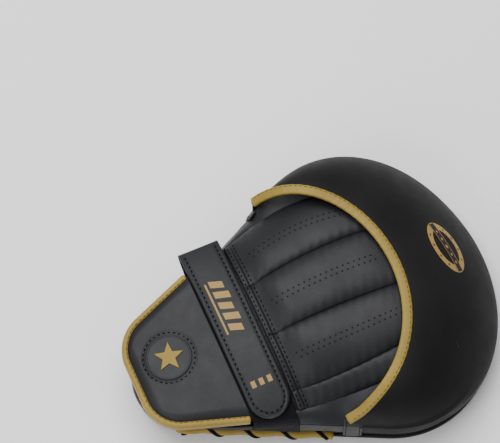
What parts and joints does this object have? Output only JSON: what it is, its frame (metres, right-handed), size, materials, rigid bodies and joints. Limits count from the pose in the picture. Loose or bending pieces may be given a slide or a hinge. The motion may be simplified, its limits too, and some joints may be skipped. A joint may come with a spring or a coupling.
{
  "type": "focus mitt",
  "caption": "Curved boxing focus mitt for the left hand: padded pear-shaped striking pad, finger hood, padded finger cover, wrist strap and lifting cuff flap.",
  "frame": {"origin": "centre of the flat striking face, which the mitt lies on", "axes": "+Y from the wrist to the fingertips, +X to the thumb side, +Z out of the back of the hand"},
  "size_m": [0.1896, 0.2442, 0.0712],
  "materials": {
    "leather_black": "satin black synthetic leather with a fine grain",
    "leather_gold": "satin gold synthetic leather binding",
    "foam": "closed-cell foam, fine pores",
    "lining": "woven lining cloth",
    "loop_fabric": "loop side of hook-and-loop tape",
    "hook_fabric": "hook side of hook-and-loop tape",
    "lace_cord": "thick twisted cord",
    "patch_rubber": "moulded soft rubber",
    "patch_mark": "moulded gold mark"
  },
  "bodies": {
    "pad": {"face_panel": "leather_black", "face_piping": "leather_black", "strike_foam": "foam", "core_foam": "foam", "palm_panel": "leather_black", "crown_panel": "leather_black", "crown_bolster": "foam", "hood_binding": "leather_gold", "lower_side_wall": "leather_black", "side_trim_right": "leather_gold", "side_trim_left": "leather_gold", "side_lace_right": "lace_cord", "side_lace_left": "lace_cord", "junction_tab_right": "leather_black", "junction_tab_left": "leather_black", "finger_cover": "leather_black", "finger_lining": "lining", "finger_hem": "leather_black", "thumb_panel": "leather_black", "glove_gusset": "leather_black", "loop_band": "loop_fabric", "strap_root": "leather_black"},
    "cuff": {"cuff_cover": "leather_black", "cuff_padding": "foam", "cuff_lining": "lining", "cuff_binding": "leather_gold", "emblem_patch": "patch_rubber", "emblem_mark": "patch_mark"},
    "strap": {"strap_outer": "leather_black", "strap_hook_patch": "hook_fabric"}
  },
  "joints": [
    {"name": "strap_hinge", "type": "hinge", "parent": "pad", "child": "strap", "pos_m": [-0.0675, -0.0489, 0.047], "axis": [0, -1, 0], "range_deg": [0, 165]},
    {"name": "cuff_hinge", "type": "hinge", "parent": "pad", "child": "cuff", "pos_m": [0, -0.064, 0.0505], "axis": [-1, 0, 0], "range_deg": [0, 60]}
  ]
}
